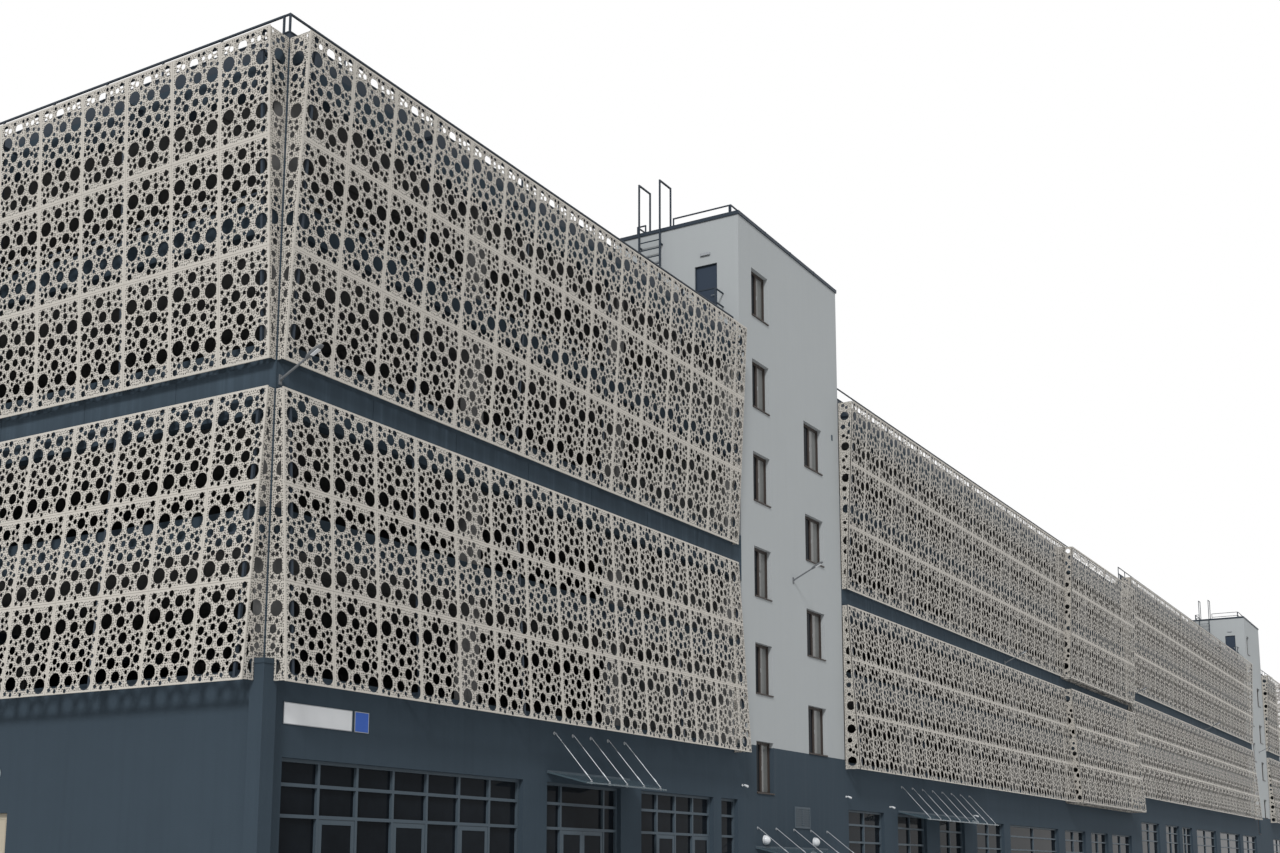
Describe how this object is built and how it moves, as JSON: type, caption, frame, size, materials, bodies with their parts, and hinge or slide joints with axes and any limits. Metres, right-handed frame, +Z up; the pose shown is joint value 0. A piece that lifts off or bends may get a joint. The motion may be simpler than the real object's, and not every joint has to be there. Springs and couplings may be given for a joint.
{
  "type": "multi storey car park scale model",
  "caption": "Long multi storey car park with tilted perforated metal screens over dark shopfronts, rendered stair towers and a roof rail, as a scale model.",
  "frame": {"origin": "on the ground under the middle of the plan, at the level that the walls stand on", "axes": "+X along the long front away from the near corner, +Y from the front to the back, +Z up"},
  "size_m": [13.826, 1.854, 2.553],
  "materials": {
    "cream_metal": "matt powder coat",
    "dark_render": "fine render, matt",
    "white_render": "fine render, matt",
    "concrete": "cast, matt",
    "grey_steel": "satin paint",
    "dark_frames": "satin powder coat",
    "window_glass": "clear, polished",
    "canopy_glass": "clear, polished",
    "door_grey": "satin powder coat",
    "door_beige": "satin paint",
    "door_blue": "satin paint",
    "rod_steel": "brushed",
    "lamp_white": "smooth"
  },
  "bodies": {
    "building": {"ground_floor": "concrete", "parking_decks": "concrete", "facade_columns": "concrete", "edge_beams_long": "dark_render", "edge_beams_ends": "dark_render", "ground_piers": "dark_render", "shop_lintels": "dark_render", "end_walls": "dark_render", "side_door_lintel": "dark_render", "plinths": "dark_render", "corner_column": "dark_render", "front_screen_upper": "cream_metal", "front_screen_lower": "cream_metal", "left_screen_upper": "cream_metal", "left_screen_lower": "cream_metal", "far_screens_upper": "cream_metal", "far_screens_lower": "cream_metal", "back_screens": "cream_metal", "right_screens": "cream_metal", "screen_returns": "cream_metal", "bay_soffits": "cream_metal", "screen_frames_long": "grey_steel", "screen_frames_ends": "grey_steel", "screen_brackets": "grey_steel", "tower_front_walls": "white_render", "tower_side_walls": "white_render", "tower_back_walls": "white_render", "tower_floors": "concrete", "tower_copings": "dark_frames", "tower_window_frames": "dark_frames", "tower_glass": "window_glass", "tower_doors": "door_grey", "roof_doors": "door_blue", "roof_landings": "grey_steel", "roof_ladders": "grey_steel", "tower_rails": "grey_steel", "shop_frames": "dark_frames", "shop_glass": "window_glass", "canopies": "canopy_glass", "canopy_rods": "rod_steel", "street_lamps": "grey_steel", "wall_lamps": "lamp_white", "cameras": "lamp_white", "wall_vents": "grey_steel", "roof_rails_long": "grey_steel", "roof_rails_ends": "grey_steel"},
    "shop_door_1": {"shop_door_1": "door_grey"},
    "shop_door_2": {"shop_door_2": "door_grey"},
    "shop_door_3": {"shop_door_3": "door_grey"},
    "shop_door_4": {"shop_door_4": "door_grey"},
    "shop_door_5": {"shop_door_5": "door_grey"},
    "pair_door_left": {"pair_door_left": "door_grey"},
    "pair_door_right": {"pair_door_right": "door_grey"},
    "side_door": {"side_door": "door_beige"}
  },
  "joints": [
    {"name": "shop_door_1_hinge", "type": "hinge", "parent": "building", "child": "shop_door_1", "pos_m": [-6.66964, -0.827, 0.135], "axis": [0, 0, -1], "range_deg": [0, 90]},
    {"name": "shop_door_2_hinge", "type": "hinge", "parent": "building", "child": "shop_door_2", "pos_m": [-6.43393, -0.827, 0.135], "axis": [0, 0, -1], "range_deg": [0, 90]},
    {"name": "shop_door_3_hinge", "type": "hinge", "parent": "building", "child": "shop_door_3", "pos_m": [-6.19821, -0.827, 0.135], "axis": [0, 0, -1], "range_deg": [0, 90]},
    {"name": "shop_door_4_hinge", "type": "hinge", "parent": "building", "child": "shop_door_4", "pos_m": [-5.2815, -0.827, 0.135], "axis": [0, 0, -1], "range_deg": [0, 90]},
    {"name": "shop_door_5_hinge", "type": "hinge", "parent": "building", "child": "shop_door_5", "pos_m": [-5.0715, -0.827, 0.135], "axis": [0, 0, -1], "range_deg": [0, 90]},
    {"name": "pair_door_left_hinge", "type": "hinge", "parent": "building", "child": "pair_door_left", "pos_m": [-5.773, -0.827, 0.135], "axis": [0, 0, -1], "range_deg": [0, 90]},
    {"name": "pair_door_right_hinge", "type": "hinge", "parent": "building", "child": "pair_door_right", "pos_m": [-5.575, -0.827, 0.135], "axis": [0, 0, 1], "range_deg": [0, 90]},
    {"name": "side_door_hinge", "type": "hinge", "parent": "building", "child": "side_door", "pos_m": [-6.843, -0.1105, 0.135], "axis": [0, 0, 1], "range_deg": [0, 90]}
  ]
}
